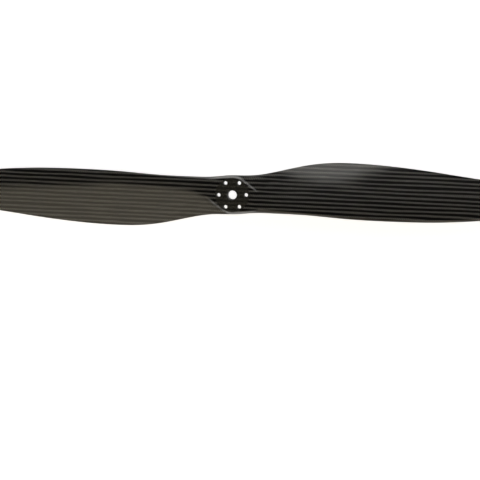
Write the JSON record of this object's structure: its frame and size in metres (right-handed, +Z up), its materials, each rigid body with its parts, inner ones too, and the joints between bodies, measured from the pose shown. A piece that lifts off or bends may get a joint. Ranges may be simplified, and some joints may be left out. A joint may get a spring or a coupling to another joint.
{
  "type": "propeller",
  "caption": "Fixed-pitch carbon fibre multirotor propeller: opposed twisted blades, a flat clamping hub, a centre bore and a bolt circle",
  "frame": {"origin": "centre of the bore, on the hub's lower face, which sits on the motor", "axes": "+Z runs up the bore, thrust side up; +X runs along the right blade; seen from +Z the propeller turns clockwise, so the right blade's leading edge faces -Y and the left blade's faces +Y"},
  "size_m": [0.7115, 0.058, 0.0201],
  "materials": {
    "carbon_skin": "clear-coated carbon fibre weave, gloss",
    "moulded_carbon": "pressed chopped carbon fibre and epoxy, machined holes",
    "carbon_plies": "stacked carbon fibre plies, matt",
    "foam": "closed-cell structural foam, matt",
    "balsa": "balsa with its grain along the blade, raw",
    "carbon_tape": "unidirectional carbon tape, satin",
    "carbon_roving": "resin-soaked carbon roving, satin",
    "filled_resin": "fibre-filled epoxy, matt"
  },
  "bodies": {
    "root": {"upper_skin": "carbon_skin", "lower_skin": "carbon_skin", "hub_core": "moulded_carbon", "upper_hub_doubler": "carbon_plies", "lower_hub_doubler": "carbon_plies", "right_front_foam": "foam", "left_front_foam": "foam", "right_rear_foam": "foam", "left_rear_foam": "foam", "right_spar_web": "balsa", "left_spar_web": "balsa", "right_upper_spar_cap": "carbon_tape", "right_lower_spar_cap": "carbon_tape", "left_upper_spar_cap": "carbon_tape", "left_lower_spar_cap": "carbon_tape", "right_leading_edge_roving": "carbon_roving", "left_leading_edge_roving": "carbon_roving", "right_tip_insert": "filled_resin", "left_tip_insert": "filled_resin"}
  },
  "joints": []
}
